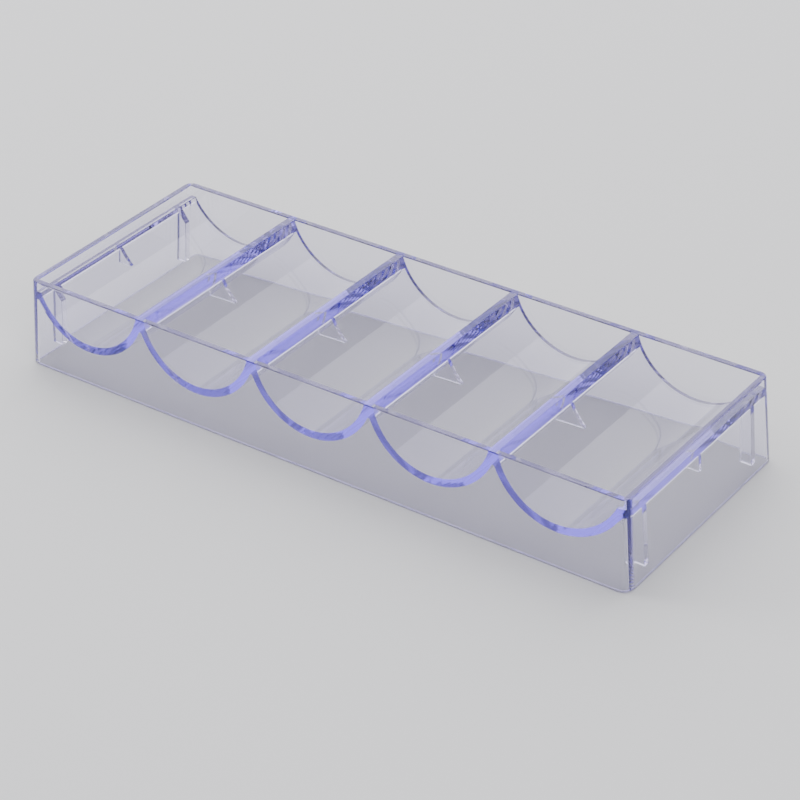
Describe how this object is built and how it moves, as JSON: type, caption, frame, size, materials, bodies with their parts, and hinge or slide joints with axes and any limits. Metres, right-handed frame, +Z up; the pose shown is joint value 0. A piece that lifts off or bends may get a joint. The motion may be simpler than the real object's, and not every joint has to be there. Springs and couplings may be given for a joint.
{
  "type": "poker chip tray",
  "caption": "Clear open tray with a row of half-round troughs for stacks of chips, held up by a drafted skirt.",
  "frame": {"origin": "centre of the footprint, on the surface that the tray stands on", "axes": "+X along the row of troughs to the right, +Y to the rear, +Z up"},
  "size_m": [0.2058, 0.0758, 0.0274],
  "materials": {
    "clear_plastic": "polished, clear with a faint violet tint"
  },
  "bodies": {
    "root": {"front_wall": "clear_plastic", "rear_wall": "clear_plastic", "left_end_wall": "clear_plastic", "right_end_wall": "clear_plastic", "chip_trough_1": "clear_plastic", "chip_trough_2": "clear_plastic", "chip_trough_3": "clear_plastic", "chip_trough_4": "clear_plastic", "chip_trough_5": "clear_plastic", "divider_ridge_1": "clear_plastic", "divider_ridge_2": "clear_plastic", "divider_ridge_3": "clear_plastic", "divider_ridge_4": "clear_plastic", "left_end_shoulder": "clear_plastic", "right_end_shoulder": "clear_plastic", "ridge_gusset_1": "clear_plastic", "ridge_gusset_2": "clear_plastic", "ridge_gusset_3": "clear_plastic", "ridge_gusset_4": "clear_plastic", "left_end_gusset": "clear_plastic", "right_end_gusset": "clear_plastic", "peg_front_left": "clear_plastic", "peg_front_right": "clear_plastic", "peg_rear_left": "clear_plastic", "peg_rear_right": "clear_plastic"}
  },
  "joints": []
}
